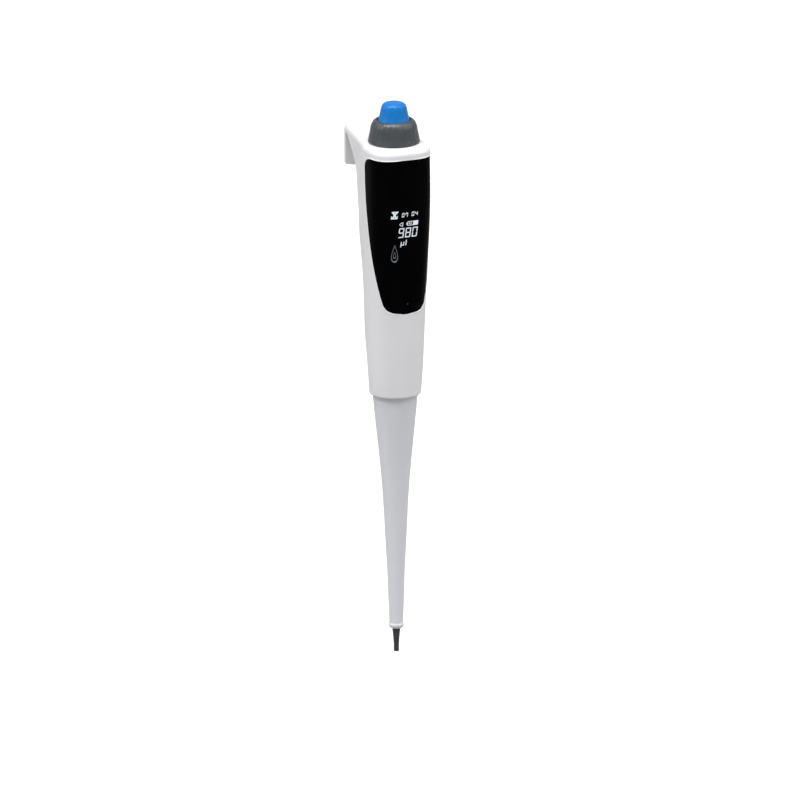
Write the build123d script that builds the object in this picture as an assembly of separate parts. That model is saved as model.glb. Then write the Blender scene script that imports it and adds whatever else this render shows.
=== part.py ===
"""Electronic adjustable-volume micropipette, single channel, small volume.

Frame: millimetres, +Z up, the nozzle's open end at the origin, the pipette's axis on Z.
The display faces -Y and the finger hook reaches to +Y.
"""

import math
import os

from build123d import *

# ---- heights along the axis -------------------------------------------------
NOZZLE_LAND_TOP = 3.3        # cylindrical land that a disposable tip is pushed onto
NOZZLE_VISIBLE_TOP = 11.8    # where the nozzle enters the ejector sleeve
SHAFT_BOTTOM = 58.0
SEAL_BOTTOM = 68.0
SEAL_TOP = 76.0
HOLDER_BOTTOM = 122.0
HOLDER_TOP = 132.0
SLEEVE_TOP = 142.0
HOUSING_BOTTOM = 131.8
BASE_BOTTOM = 144.0
BASE_TOP = 149.0
MOTOR_TOP = 163.0
TRAY_BOTTOM = 176.0
BATTERY_BOTTOM = 178.0
BATTERY_TOP = 222.0
SHELF_BOTTOM = 224.0
SHELF_TOP = 226.0
ARM_BOTTOM = 238.5
ARM_TOP = 242.7
HEAD_BOTTOM = 243.0
HEAD_TOP = 246.0
HOUSING_TOP = 259.5
POST_TOP = 262.3
KNOB_TOP = 271.0
BUTTON_TOP = 279.7

# ---- shell ------------------------------------------------------------------
WALL = 2.0
LENS_THICKNESS = 1.2
LENS_GAP = 0.06
TOP_ROUND = 3.2
MOUTH_RADIUS = 11.3
RIM_ROUND = 1.3
# height, half width, front depth, back depth, squareness, back pinch
HOUSING_SECTIONS = [
    (131.8, 12.85, 12.85, 12.85, 2.0, 0.0),
    (153.6, 14.0, 14.1, 14.1, 2.1, 0.0),
    (177.0, 14.6, 15.2, 15.2, 2.3, 0.0),
    (203.0, 15.2, 16.3, 16.3, 2.8, 0.0),
    (226.0, 15.75, 17.1, 17.5, 3.2, 0.03),
    (243.0, 15.8, 17.2, 17.7, 3.3, 0.34),
    (259.5, 15.8, 17.2, 17.7, 3.3, 0.40),
]
QUARTER_STEPS = 6

# ---- finger hook ------------------------------------------------------------
HOOK_FRONT_Y = -3.0
HOOK_END_Y = 44.9
HOOK_INNER_Y = 40.5
HOOK_FRONT_HALF_WIDTH = 15.5
HOOK_END_HALF_WIDTH = 8.6
HOOK_TIP_Z = 237.7
HOOK_TIP_SAG = 1.0
HOOK_CORNER = 2.0
HOOK_FOOT_Z = 222.0
# the gusset under the hook, from the housing's back to the hook's leg
GUSSET = [(14.5, 222.0), (16.4, 229.0), (17.7, 236.0), (20.0, 243.2), (25.5, 248.2), (33.5, 252.9), (38.0, 254.9)]

# ---- display panel, seen from the side: its edge runs down and forward -------
PANEL_TOP_Z = 254.4
PANEL_SIDE = [(-0.5, 248.0), (-1.0, 239.0), (-2.8, 225.0), (-5.3, 211.0), (-8.9, 193.0), (-11.2, 181.0)]
PANEL_BOTTOM = (-16.5, 175.6)
PANEL_CORNER = 8.5
WINDOW_X = (-9.2, 6.8)
WINDOW_Z = (204.8, 233.2)

# ---- ejector ----------------------------------------------------------------
ROD_X = 8.2
ROD_RADIUS = 1.0
ROD_HOLE = 1.08
EJECT_TRAVEL = 6.0
SLEEVE_WALL = 1.1
SLEEVE_OPENING = 2.15
# outer radius and height up the tapered sleeve
SLEEVE_OUTER = [
    (3.4, 14.6), (3.85, 27.5), (4.31, 41.4), (5.0, 54.0), (5.85, 71.0),
    (7.1, 90.4), (8.25, 102.6), (9.5, 115.0), (10.8, 128.0),
]
SLEEVE_TOP_RADIUS = 11.0

# ---- dial and button --------------------------------------------------------
POST_OUTER = 6.5
POST_BORE = 4.5
PLUNGER_RADIUS = 4.43
HUB_BORE = 6.58
HUB_OUTER = 8.0
TOP_HOLE = 8.3
KNOB_BOTTOM_RADIUS = 12.8
KNOB_SHOULDER_RADIUS = 10.9
KNOB_FLUTES = 24
FLUTE_RADIUS = 1.5
FLUTE_RUN_OUT = 1.6
STEM_RADIUS = 1.92
BUTTON_FLUTES = 12

# ---- drive ------------------------------------------------------------------
SCREW_RADIUS = 1.5
NUT_BORE = 1.55
NUT_OUTER = 2.6
BEARING_BORE = 2.65
PISTON_RADIUS = 0.55
MOTOR_RADIUS = 6.8
MOTOR_INNER = 6.3
BATTERY_RADIUS = 7.0
BATTERY_XY = (-1.0, 1.0)


# ---- shared shapes ----------------------------------------------------------
def rod(radius, bottom, top, x=0.0, y=0.0):
    """A cylinder along Z between two heights."""
    return Pos(x, y, (bottom + top) / 2) * Cylinder(radius, top - bottom)


def ring(outer, inner, bottom, top, x=0.0, y=0.0):
    """A tube along Z between two heights."""
    return rod(outer, bottom, top, x, y) - rod(inner, bottom - 1, top + 1, x, y)


def rod_y(radius, front, back, x, z):
    """A cylinder along Y."""
    return Pos(x, (front + back) / 2, z) * Rot(90, 0, 0) * Cylinder(radius, back - front)


def block(x0, x1, y0, y1, z0, z1):
    """A box between two corners."""
    return Pos((x0 + x1) / 2, (y0 + y1) / 2, (z0 + z1) / 2) * Box(x1 - x0, y1 - y0, z1 - z0)


def turned(*points):
    """A solid turned about Z from a closed outline of (radius, height) corners."""
    outline = Polyline(*[(r, 0, z) for r, z in points], close=True)
    return revolve(make_face(outline), Axis.Z)


def coil(mean_radius, wire_radius, bottom, top, turns):
    """A helical compression spring whose wire stays between two heights."""
    height = top - bottom - 2 * wire_radius
    path = Pos(0, 0, bottom + wire_radius) * Helix(pitch=height / turns, height=height, radius=mean_radius)
    start = Plane(origin=path @ 0, z_dir=path % 0)
    return sweep(start * Circle(wire_radius), path=path, is_frenet=True)


def section_point(angle, width, front, back, square, pinch):
    """A point on the housing's superellipse section, its back half narrowed by the pinch."""
    c, s = math.cos(angle), math.sin(angle)
    depth = back if s > 0 else front
    reach = (abs(c / width) ** square + abs(s / depth) ** square) ** (-1 / square)
    narrowing = 1 - pinch * max(0.0, s * reach / depth) ** 1.2
    return c * reach * narrowing, s * reach


def section_wire(height, width, front, back, square, pinch, inset):
    """One closed section in four quarters, which meet square to the X and Y axes."""
    sizes = (width - inset, front - inset, back - inset, square, pinch)
    corner = math.pi / 2
    quarters = []
    for k in range(4):
        angles = [corner * (k + step / QUARTER_STEPS) for step in range(QUARTER_STEPS + 1)]
        points = [Vector(*section_point(a, *sizes), height) for a in angles]
        ends = [Vector(-math.sin(a), math.cos(a), 0) for a in (angles[0], angles[-1])]
        quarters.append(Edge.make_spline(points, tangents=ends))
    return Wire(quarters)


def shell_solid(inset):
    """The housing's barrel as a solid, set in from its outer face by an even amount."""
    return Solid.make_loft([section_wire(*row, inset) for row in HOUSING_SECTIONS])


def rounded_end(section, radius, direction):
    """The end of the barrel, curving in to a flat face that lies up (1) or down (-1)."""
    height, *sizes = section
    wires = []
    for step in range(5):
        turn = math.pi / 2 * step / 4
        level = height - direction * radius * (1 - math.sin(turn))
        wires.append(section_wire(level, *sizes, radius * (1 - math.cos(turn))))
    return Part(Solid.make_loft(wires).wrapped)


def barrel_solid():
    """The barrel with both its ends rounded over."""
    first, *between, last = HOUSING_SECTIONS
    levels = [(first[0] + RIM_ROUND, *first[1:]), *between, (last[0] - TOP_ROUND, *last[1:])]
    middle = Part(Solid.make_loft([section_wire(*row, 0.0) for row in levels]).wrapped)
    return middle + rounded_end(last, TOP_ROUND, 1) + rounded_end(first, RIM_ROUND, -1)


def panel_region(grow):
    """The display panel's outline from the side, drawn through the housing along X."""
    side = Spline(*[(y + grow, z) for y, z in PANEL_SIDE])
    low_y, low_z = PANEL_BOTTOM[0], PANEL_BOTTOM[1] - grow
    top_z = PANEL_TOP_Z + grow
    first, last = side @ 0, side @ 1
    corner = Bezier(last, last + (side % 1) * 3.4, (-14.0, low_z), (low_y, low_z))
    top_start = (first.X - PANEL_CORNER, top_z)
    top_bend = Bezier(top_start, (first.X - 0.48 * PANEL_CORNER, top_z), first - (side % 0) * 4.4, first)
    front = Polyline((low_y, low_z), (-22, low_z), (-22, top_z), top_start)
    outline = Plane.YZ * make_face([side, corner, top_bend, front])
    return extrude(outline, amount=25, both=True)


def along(shape, count):
    """Copies of a shape turned evenly about Z."""
    return [Rot(0, 0, 360 * k / count) * shape for k in range(count)]


# ---- the handle -------------------------------------------------------------
def make_hook():
    """The finger hook: a tapered arm out of the housing's back, a gusset and a leg."""
    plan = Polyline(
        (HOOK_FRONT_HALF_WIDTH, HOOK_FRONT_Y),
        (HOOK_END_HALF_WIDTH, HOOK_END_Y),
        (-HOOK_END_HALF_WIDTH, HOOK_END_Y),
        (-HOOK_FRONT_HALF_WIDTH, HOOK_FRONT_Y),
        close=True,
    )
    arm = extrude(Pos(0, 0, HOOK_FOOT_Z) * make_face(plan), HOUSING_TOP - HOOK_FOOT_Z)
    arm = fillet(arm.edges().filter_by(Axis.Z).group_by(Axis.Y)[-1], HOOK_CORNER)
    top_edges = arm.faces().sort_by(Axis.Z)[-1].edges()
    arm = fillet(top_edges.filter_by(lambda e: e.center().Y > HOOK_FRONT_Y + 1), TOP_ROUND)
    under = Spline(*GUSSET)
    bend = Bezier(under @ 1, under @ 1 + (under % 1) * 2.2, (HOOK_INNER_Y, 255.0), (HOOK_INNER_Y, 252.0))
    rest = Polyline((HOOK_INNER_Y, 252.0), (HOOK_INNER_Y, 230), (50, 230), (50, 215), (14.5, 215), (14.5, 222.0))
    gap = extrude(Plane.YZ * make_face([under, bend, rest]), amount=25, both=True)
    arm -= gap
    half, side_z = 12.0, HOOK_TIP_Z + HOOK_TIP_SAG
    edge = ThreePointArc((-half, side_z + 1.2), (0, HOOK_TIP_Z), (half, side_z + 1.2))
    below = Polyline((half, side_z + 1.2), (half, 220), (-half, 220), (-half, side_z + 1.2))
    tongue = Plane.XZ.offset(-30) * make_face([edge, below])
    return arm - extrude(tongue, amount=-30)


def make_main_housing():
    """The one-piece hand shell with its hook, display pocket and screw bosses."""
    body = barrel_solid() + make_hook()
    cavity = shell_solid(WALL) & block(-30, 30, -30, 30, HOUSING_BOTTOM + 4, HOUSING_TOP - 1.8)
    body -= cavity
    body -= rod(MOUTH_RADIUS, HOUSING_BOTTOM - 1, BASE_BOTTOM - 0.5)
    body -= rod(TOP_HOLE, HOUSING_TOP - 3, HOUSING_TOP + 1)
    skin = block(-30, 30, -30, 0, 160, 258) - shell_solid(LENS_THICKNESS + LENS_GAP)
    body -= skin & panel_region(LENS_GAP)
    body -= block(*WINDOW_X, -20, -8, *WINDOW_Z)
    body -= cover_region(LENS_GAP)
    for x in (-6.5, 6.5):
        boss = rod(2.2, BASE_TOP, BASE_TOP + 7, x, -6.5) - rod(0.8, BASE_TOP - 1, BASE_TOP + 6, x, -6.5)
        gusset = block(x - 0.8, x + 0.8, -10.6, -8.5, BASE_TOP, BASE_TOP + 7)
        body += boss + gusset - rod(0.8, BASE_TOP - 1, BASE_TOP + 6, x, -6.5)
    ledge = block(-6, 6, 7.5, 12.6, 149.8, 151.3)
    body += ledge
    return body - block(-4.4, 4.4, 10, 20, 152.3, 156.1)


def make_display_lens():
    """The glossy panel let in flush over the front and round both sides."""
    return (shell_solid(0.0) - shell_solid(LENS_THICKNESS)) & panel_region(0.0)


def cover_region(grow):
    """The service cover's outline, a tall rounded rectangle driven through the back wall."""
    sketch = RectangleRounded(14.8 + 2 * grow, 62.5 + 2 * grow, 3.0 + grow)
    return extrude(Plane.XZ.offset(-8) * Pos(0, 199.75) * sketch, amount=-20)


def make_battery_cover():
    """The curved cover over the battery, with two countersunk screw holes."""
    cover = (shell_solid(0.0) - shell_solid(WALL)) & cover_region(0.0)
    for z, y in COVER_SCREWS:
        cover -= rod_y(1.0, 5, 20, 0, z)
        cover -= rod_y(2.0, y - 0.9, 20, 0, z)
    return cover


# height of each cover screw and the face its head stands level with
COVER_SCREWS = [(174.8, 14.9), (225.0, 17.3)]


def make_cover_screw(z, face_y):
    """A flat-headed screw along Y with a cross recess."""
    screw = rod_y(1.9, face_y - 0.9, face_y - 0.1, 0, z) + rod_y(0.95, face_y - 7.0, face_y - 0.9, 0, z)
    cross = block(-1.2, 1.2, face_y - 0.6, face_y, z - 0.2, z + 0.2)
    cross += block(-0.2, 0.2, face_y - 0.6, face_y, z - 1.2, z + 1.2)
    return screw - cross


def make_charge_jack():
    """A small shielded charging socket that opens to the back."""
    outside = block(-4.0, 4.0, 7.6, 13.3, 152.5, 155.9)
    return outside - block(-3.5, 3.5, 8.6, 14, 153.0, 155.4) + block(-2.6, 2.6, 8.6, 12.4, 154.0, 154.5)


# ---- inner frame ------------------------------------------------------------
def make_chassis_frame():
    """Two rails with cross brackets, a battery tray, a spring shelf and two cover posts."""
    frame = block(-11.2, -9.4, -3, 3, BASE_TOP - 3, HEAD_BOTTOM)
    frame += block(9.9, 11.2, -2.5, 2.5, BASE_TOP - 3, HEAD_BOTTOM)
    for low, high in ((185.5, 188.5), (236.0, HEAD_BOTTOM)):
        frame += block(-11.2, 11.2, -10.3, -8.2, low, high)
        frame += block(-11.2, -9.4, -8.2, -3, low, high)
        frame += block(9.9, 11.2, -8.2, -2.5, low, high)
    frame += block(-11.2, 11.2, -5, 5, TRAY_BOTTOM, TRAY_BOTTOM + 1)
    frame += block(-11.2, 11.2, -6, 8.5, SHELF_BOTTOM, SHELF_TOP)
    trimmed = shell_solid(WALL + 0.3)
    frame = frame & trimmed
    for z, face_y in COVER_SCREWS:
        frame += rod_y(2.2, 4.6 if z < 200 else 8.0, face_y - 2.2, 0, z)
        frame -= rod_y(0.95, face_y - 7.0, face_y, 0, z)
    frame -= rod(ROD_HOLE, 150, HEAD_BOTTOM, ROD_X)
    for x, z in BOARD_SCREWS:
        frame -= rod_y(0.8, -12, -8.0, x, z)
    for x in HEAD_SCREW_X:
        frame -= rod(0.8, 238.5, HEAD_BOTTOM + 1, x, -9.2)
    return frame


BOARD_SCREWS = [(-4.5, 187.0), (4.5, 187.0), (-4.5, 238.0), (4.5, 238.0)]
HEAD_SCREW_X = (-6.5, 6.5)
BASE_SCREW_X = (-6.5, 6.5)


def make_chassis_base():
    """The thick disc that carries the motor above and the shaft below."""
    base = rod(11.1, BASE_BOTTOM, BASE_TOP)
    base -= rod(6.0, BASE_BOTTOM - 1, BASE_TOP - 1)
    base -= rod(2.2, BASE_TOP - 2, BASE_TOP + 1)
    base -= rod(ROD_HOLE, BASE_BOTTOM - 1, BASE_TOP + 1, ROD_X)
    base -= block(-12, -9.4, -3, 3, BASE_TOP - 3, BASE_TOP + 1)
    base -= block(9.9, 12, -2.5, 2.5, BASE_TOP - 3, BASE_TOP + 1)
    for x in BASE_SCREW_X:
        base -= rod(1.0, BASE_BOTTOM - 1, BASE_TOP + 1, x, -6.5)
    return base


def make_chassis_head():
    """The head plate with the hollow post that the dial turns on and the plunger slides in."""
    slab = shell_solid(WALL + 0.3) & block(-20, 20, -14.5, 14.5, HEAD_BOTTOM, HEAD_TOP)
    head = slab + rod(POST_OUTER, HEAD_TOP, POST_TOP)
    head -= rod(POST_BORE, HEAD_BOTTOM - 1, POST_TOP + 1)
    for x in HEAD_SCREW_X:
        head -= rod(0.85, HEAD_BOTTOM - 1, HEAD_TOP + 1, x, -9.2)
    return head


def make_screw(x, y, head_bottom, head_top, shank_end, head_radius=1.5, shank_radius=0.8):
    """A pan-headed screw along Z, its head between two heights and its shank to a third."""
    low, high = min(head_bottom, shank_end), max(head_bottom, shank_end)
    screw = rod(head_radius, min(head_bottom, head_top), max(head_bottom, head_top), x, y)
    screw += rod(shank_radius, low, high, x, y)
    recess = 0.5 if head_top > head_bottom else -0.5
    low, high = min(head_top, head_top - recess), max(head_top, head_top - recess)
    return screw - block(x - 1.0, x + 1.0, y - 0.2, y + 0.2, low, high)


def make_board_screw(x, z):
    """A pan-headed screw along Y that holds the main board."""
    screw = rod_y(1.4, -12.3, -11.5, x, z) + rod_y(0.8, -11.5, -8.4, x, z)
    return screw - block(x - 0.9, x + 0.9, -12.4, -11.9, z - 0.2, z + 0.2)


# ---- electronics ------------------------------------------------------------
def make_main_board():
    """The main circuit board, upright behind the display."""
    board = block(-7.5, 7.5, -11.5, -10.3, 185.0, 242.8)
    for x, z in BOARD_SCREWS:
        board -= rod_y(0.85, -12, -10, x, z)
    return board


def make_detent_spring():
    """A leaf with a rounded nose that stands just off the encoder ring."""
    leaf = block(-11.5, -11.0, -2.0, 2.0, HEAD_TOP, 253.0)
    return leaf + rod(0.9, 250.5, 252.5, -11.0, 0)


def make_battery_cell():
    """A 14 by 43 mm lithium cell with its raised terminal."""
    cell = rod(BATTERY_RADIUS, BATTERY_BOTTOM, BATTERY_TOP, *BATTERY_XY)
    cell = fillet(cell.edges().filter_by(GeomType.CIRCLE), 0.6)
    return cell + rod(2.5, BATTERY_TOP, BATTERY_TOP + 1, *BATTERY_XY)


# ---- drive ------------------------------------------------------------------
def make_motor_can():
    """The stepper motor's drawn steel can."""
    can = ring(MOTOR_RADIUS, MOTOR_INNER, BASE_TOP, MOTOR_TOP)
    return can + ring(MOTOR_INNER, 2.2, BASE_TOP, BASE_TOP + 0.6)


def make_motor_cap():
    """The plate that closes the motor."""
    return ring(MOTOR_INNER, 2.2, MOTOR_TOP - 0.6, MOTOR_TOP) + ring(MOTOR_RADIUS, 2.2, MOTOR_TOP, MOTOR_TOP + 1)


def make_shaft_body():
    """The lower shaft: carries the nozzle, the seals and the keyed piston holder."""
    shaft = turned(
        (3.05, SHAFT_BOTTOM), (3.85, SHAFT_BOTTOM), (4.5, 78), (5.3, 92), (6.0, 110),
        (6.0, 141.8), (7.2, 141.8), (7.2, BASE_BOTTOM), (6.0, BASE_BOTTOM), (6.0, BASE_TOP - 1),
        (4.2, BASE_TOP - 1), (4.2, 100), (3.3, 98), (3.3, SEAL_BOTTOM), (3.05, SEAL_BOTTOM),
    )
    return shaft - block(-5.1, 5.1, -0.85, 0.85, 116, BASE_TOP)


def make_tip_cone():
    """The nozzle: a land for the tip, a slow taper and a bore for air and piston."""
    cone = turned(
        (0.4, 0.3), (0.7, 0), (1.27, 0), (1.27, NOZZLE_LAND_TOP), (1.82, 10.2), (1.92, 10.3),
        (2.0, 13), (2.2, 17), (2.4, 30), (3.2, 56), (3.2, SHAFT_BOTTOM), (3.05, SHAFT_BOTTOM),
        (3.05, SEAL_BOTTOM), (0.75, SEAL_BOTTOM), (0.75, 36), (0.4, 35),
    )
    return cone


def make_piston_holder():
    """The block that joins screw and piston, with keys that stop it turning."""
    holder = rod(3.9, HOLDER_BOTTOM, HOLDER_TOP) + block(-4.9, 4.9, -0.75, 0.75, HOLDER_BOTTOM, HOLDER_TOP)
    holder -= rod(SCREW_RADIUS, 127, HOLDER_TOP + 1)
    return holder - rod(PISTON_RADIUS, HOLDER_BOTTOM - 1, 126)


def make_rotor_nut():
    """The rotor's hollow shaft, threaded inside for the lead screw."""
    return ring(NUT_OUTER, NUT_BORE, BASE_TOP + 0.7, MOTOR_TOP - 0.7)


def make_lead_screw():
    """The lead screw, with chamfered ends."""
    screw = rod(SCREW_RADIUS, 127, 165)
    return chamfer(screw.edges().filter_by(GeomType.CIRCLE).group_by(Axis.Z)[-1], 0.4)


# ---- tip ejector ------------------------------------------------------------
def make_ejector_plunger():
    """The hollow plunger under the button, with the arm that pushes the side rod."""
    plunger = rod(PLUNGER_RADIUS, ARM_BOTTOM, 268.5) + rod(6.0, 268.5, 270.0)
    plunger += rod(7.0, ARM_BOTTOM, ARM_TOP) + block(0, 9.7, -2.4, 2.4, ARM_BOTTOM, ARM_TOP)
    plunger -= rod(STEM_RADIUS + 0.08, ARM_BOTTOM - 1, 271)
    return plunger - rod(ROD_RADIUS, ARM_BOTTOM - 1, ARM_TOP + 1, ROD_X)


def make_ejector_collar():
    """The ring inside the sleeve's top that the side rod is fixed to."""
    return ring(9.8, 6.3, 133, 141) - rod(ROD_RADIUS, 132, 142, ROD_X)


def make_ejector_sleeve():
    """The long tapered sleeve that slides down the shaft and pushes the tip off."""
    wall = Spline(*[(r, 0, z) for r, z in SLEEVE_OUTER], tangents=[(0.02, 0, 1), (0.1, 0, 1)])
    tip_round = ThreePointArc((2.45, 0, 11.8), (3.3, 0, 12.4), wall @ 0)
    shoulder = Bezier(wall @ 1, wall @ 1 + Vector(0.12, 0, 1.2), (SLEEVE_TOP_RADIUS, 0, 130.4), (SLEEVE_TOP_RADIUS, 0, 132))
    inside = Spline(
        *[(r - SLEEVE_WALL, 0, z) for r, z in SLEEVE_OUTER if z > 20][::-1],
    )
    rim = Polyline(
        (SLEEVE_TOP_RADIUS, 0, 132), (SLEEVE_TOP_RADIUS, 0, SLEEVE_TOP), (9.8, 0, SLEEVE_TOP),
        (9.8, 0, 133), inside @ 0,
    )
    throat = Polyline(inside @ 1, (2.5, 0, 20), (SLEEVE_OPENING, 0, 14), (SLEEVE_OPENING, 0, 11.8), (2.45, 0, 11.8))
    return revolve(make_face([tip_round, wall, shoulder, rim, inside, throat]), Axis.Z)


# ---- dial and button --------------------------------------------------------
def make_dial_knob():
    """The volume dial: a fluted cap, an inner floor and a hub tube through the housing."""
    low = HOUSING_TOP + 0.3
    side_top = (KNOB_SHOULDER_RADIUS, 0, 268.6)
    lower_lip = Bezier((12.35, 0, low), (KNOB_BOTTOM_RADIUS, 0, low), (12.78, 0, low + 0.5), (12.7, 0, low + 1.0))
    side = Line((12.7, 0, low + 1.0), side_top)
    crown = Bezier(side_top, (10.55, 0, 270.1), (10.2, 0, KNOB_TOP), (9.0, 0, KNOB_TOP))
    inner = Polyline(
        (9.0, 0, KNOB_TOP), (8.5, 0, KNOB_TOP), (TOP_HOLE, 0, KNOB_TOP - 0.2), (TOP_HOLE, 0, 262.5), (HUB_BORE, 0, 262.5),
        (HUB_BORE, 0, 250), (HUB_OUTER, 0, 250), (HUB_OUTER, 0, low), (12.35, 0, low),
    )
    knob = revolve(make_face([lower_lip, side, crown, inner]), Axis.Z)
    # each flute is a slim cylinder that leans in a little more than the wall, so it runs out near the skirt
    slope = math.degrees(math.atan2(12.7 - KNOB_SHOULDER_RADIUS, 268.6 - low - 1.0)) + FLUTE_RUN_OUT
    flute = Pos(11.8 + FLUTE_RADIUS - 0.17, 0, 264.2) * Rot(0, -slope, 0) * Cylinder(FLUTE_RADIUS, 16)
    return knob - along(flute, KNOB_FLUTES)


def make_button_cap():
    """The blue push button: a tapered, lightly fluted cap, hollow below."""
    side = Spline((7.9, 0, 270.4), (7.3, 0, 272.2), (6.85, 0, 274.2), (6.3, 0, 277.3))
    top = Bezier(side @ 1, side @ 1 + (side % 1) * 1.6, (5.5, 0, BUTTON_TOP - 0.1), (4.0, 0, BUTTON_TOP))
    inner = Polyline(
        (4.0, 0, BUTTON_TOP), (0, 0, BUTTON_TOP), (0, 0, 277.3), (5.3, 0, 277.3), (6.4, 0, 270.4), (7.9, 0, 270.4),
    )
    cap = revolve(make_face([side, top, inner]), Axis.Z)
    slope = math.degrees(math.atan2(7.9 - 6.45, 277.5 - 270.4))
    flute = Pos(7.12 + 2.2 - 0.22, 0, 274.4) * Rot(0, -slope, 0) * Cylinder(2.2, 11)
    return cap - along(flute, BUTTON_FLUTES)


def build_parts():
    """Every node's solid by name."""
    parts = {
        "main_housing": make_main_housing(),
        "display_lens": make_display_lens(),
        "battery_cover": make_battery_cover(),
        "oled_module": block(-9.0, 6.6, -13.2, -11.9, 205, 233),
        "display_ribbon": block(-4, 4, -11.9, -11.5, 198, 206),
        "main_board": make_main_board(),
        "processor_chip": block(-3.5, 3.5, -10.3, -9.3, 205, 212),
        "buzzer": rod_y(3.0, -10.3, -7.9, -2.5, 219),
        "chassis_frame": make_chassis_frame(),
        "chassis_base": make_chassis_base(),
        "chassis_head": make_chassis_head(),
        "encoder_board": ring(9.6, POST_OUTER, HEAD_TOP, HEAD_TOP + 1) - block(-9, -8, 3, 4, HEAD_TOP - 1, HEAD_TOP + 2),
        "detent_spring": make_detent_spring(),
        "button_sensor": block(-9.4, -8.2, -2, 2, 228, 234),
        "battery_cell": make_battery_cell(),
        "contact_lower": rod(5.0, TRAY_BOTTOM + 1, BATTERY_BOTTOM, *BATTERY_XY),
        "contact_upper": rod(5.0, BATTERY_TOP + 1, SHELF_BOTTOM, *BATTERY_XY),
        "charge_jack": make_charge_jack(),
        "charge_board": block(-5.5, 5.5, 7.6, 10.4, 151.3, 152.5),
        "motor_can": make_motor_can(),
        "motor_cap": make_motor_cap(),
        "motor_coils": ring(MOTOR_INNER, 5.2, BASE_TOP + 2.6, MOTOR_TOP - 2.6),
        "bearing_lower": ring(MOTOR_INNER, BEARING_BORE, BASE_TOP + 0.6, BASE_TOP + 2.6),
        "bearing_upper": ring(MOTOR_INNER, BEARING_BORE, MOTOR_TOP - 2.6, MOTOR_TOP - 0.6),
        "shaft_body": make_shaft_body(),
        "tip_cone": make_tip_cone(),
        "piston_seal": ring(3.3, PISTON_RADIUS + 0.03, SEAL_BOTTOM, SEAL_BOTTOM + 3),
        "seal_oring": Pos(0, 0, SEAL_BOTTOM + 3.75) * Torus(1.4, 0.75),
        "seal_gland": ring(3.3, 0.8, SEAL_BOTTOM + 4.5, SEAL_TOP),
        "backlash_spring": coil(2.2, 0.25, SEAL_TOP, HOLDER_BOTTOM - 0.05, 14),
        "ejector_spring": coil(5.5, 0.45, SHELF_TOP, ARM_BOTTOM - 0.05, 5),
        "ejector_plunger": make_ejector_plunger(),
        "ejector_rod": rod(ROD_RADIUS, 133, ARM_TOP, ROD_X),
        "ejector_collar": make_ejector_collar(),
        "ejector_sleeve": make_ejector_sleeve(),
        "rod_clip": rod(1.5, 132.2, 133, ROD_X),
        "button_spring": coil(3.4, 0.35, 270.0, 277.25, 4),
        "button_cap": make_button_cap(),
        "button_stem": rod(STEM_RADIUS, 236, 277.3) - ring(3, 1.6, 236.9, 237.7),
        "button_magnet": rod(1.6, 234.2, 236),
        "stem_clip": ring(3.4, 1.6, 236.9, 237.7) - block(0, 5, -0.9, 0.9, 236, 238),
        "dial_knob": make_dial_knob(),
        "encoder_ring": ring(10.0, HUB_OUTER, 250.5, 252.5),
        "dial_clip": ring(9.3, HUB_OUTER, 256.2, 257.3) - block(0, 12, -1.2, 1.2, 255, 258),
        "rotor_nut": make_rotor_nut(),
        "rotor_magnet": ring(4.6, NUT_OUTER, BASE_TOP + 3, MOTOR_TOP - 3),
        "lead_screw": make_lead_screw(),
        "piston_holder": make_piston_holder(),
        "piston_rod": rod(PISTON_RADIUS, 40, 126),
    }
    for k, (x, z) in enumerate(BOARD_SCREWS, 1):
        parts[f"board_screw_{k}"] = make_board_screw(x, z)
    for k, x in enumerate(HEAD_SCREW_X, 1):
        parts[f"head_screw_{k}"] = make_screw(x, -9.2, HEAD_TOP, HEAD_TOP + 0.9, 238.6)
    for k, x in enumerate(BASE_SCREW_X, 1):
        parts[f"base_screw_{k}"] = make_screw(x, -6.5, BASE_BOTTOM, 142.6, 153.0, head_radius=1.6)
    for k, (z, face_y) in enumerate(COVER_SCREWS, 1):
        parts[f"cover_screw_{k}"] = make_cover_screw(z, face_y)
    return parts


os.makedirs("parts", exist_ok=True)
for name, shape in build_parts().items():
    export_step(shape, f"parts/{name}.step")
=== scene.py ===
import math

import bpy
import numpy as np
from mathutils import Matrix, Vector


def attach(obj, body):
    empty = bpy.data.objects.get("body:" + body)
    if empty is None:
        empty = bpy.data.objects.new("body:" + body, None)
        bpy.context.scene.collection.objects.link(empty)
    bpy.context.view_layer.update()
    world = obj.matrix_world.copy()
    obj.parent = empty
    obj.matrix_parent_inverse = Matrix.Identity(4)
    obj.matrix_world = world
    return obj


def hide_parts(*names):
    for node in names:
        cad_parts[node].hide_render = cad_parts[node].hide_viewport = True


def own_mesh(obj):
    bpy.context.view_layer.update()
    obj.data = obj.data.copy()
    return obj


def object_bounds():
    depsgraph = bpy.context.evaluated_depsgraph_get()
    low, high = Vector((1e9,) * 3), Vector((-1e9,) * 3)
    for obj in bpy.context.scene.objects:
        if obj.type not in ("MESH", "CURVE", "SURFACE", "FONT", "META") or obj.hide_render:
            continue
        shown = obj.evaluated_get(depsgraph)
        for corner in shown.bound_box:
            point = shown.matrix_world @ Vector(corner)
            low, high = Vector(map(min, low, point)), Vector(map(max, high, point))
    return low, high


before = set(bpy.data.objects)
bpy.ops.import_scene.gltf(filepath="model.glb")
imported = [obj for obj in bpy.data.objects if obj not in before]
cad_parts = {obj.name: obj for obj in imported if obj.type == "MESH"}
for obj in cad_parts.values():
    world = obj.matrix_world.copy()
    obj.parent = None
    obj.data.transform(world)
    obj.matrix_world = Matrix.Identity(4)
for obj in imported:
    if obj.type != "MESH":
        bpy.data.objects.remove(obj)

cad_low, cad_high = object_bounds()
mm = 0.001

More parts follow.
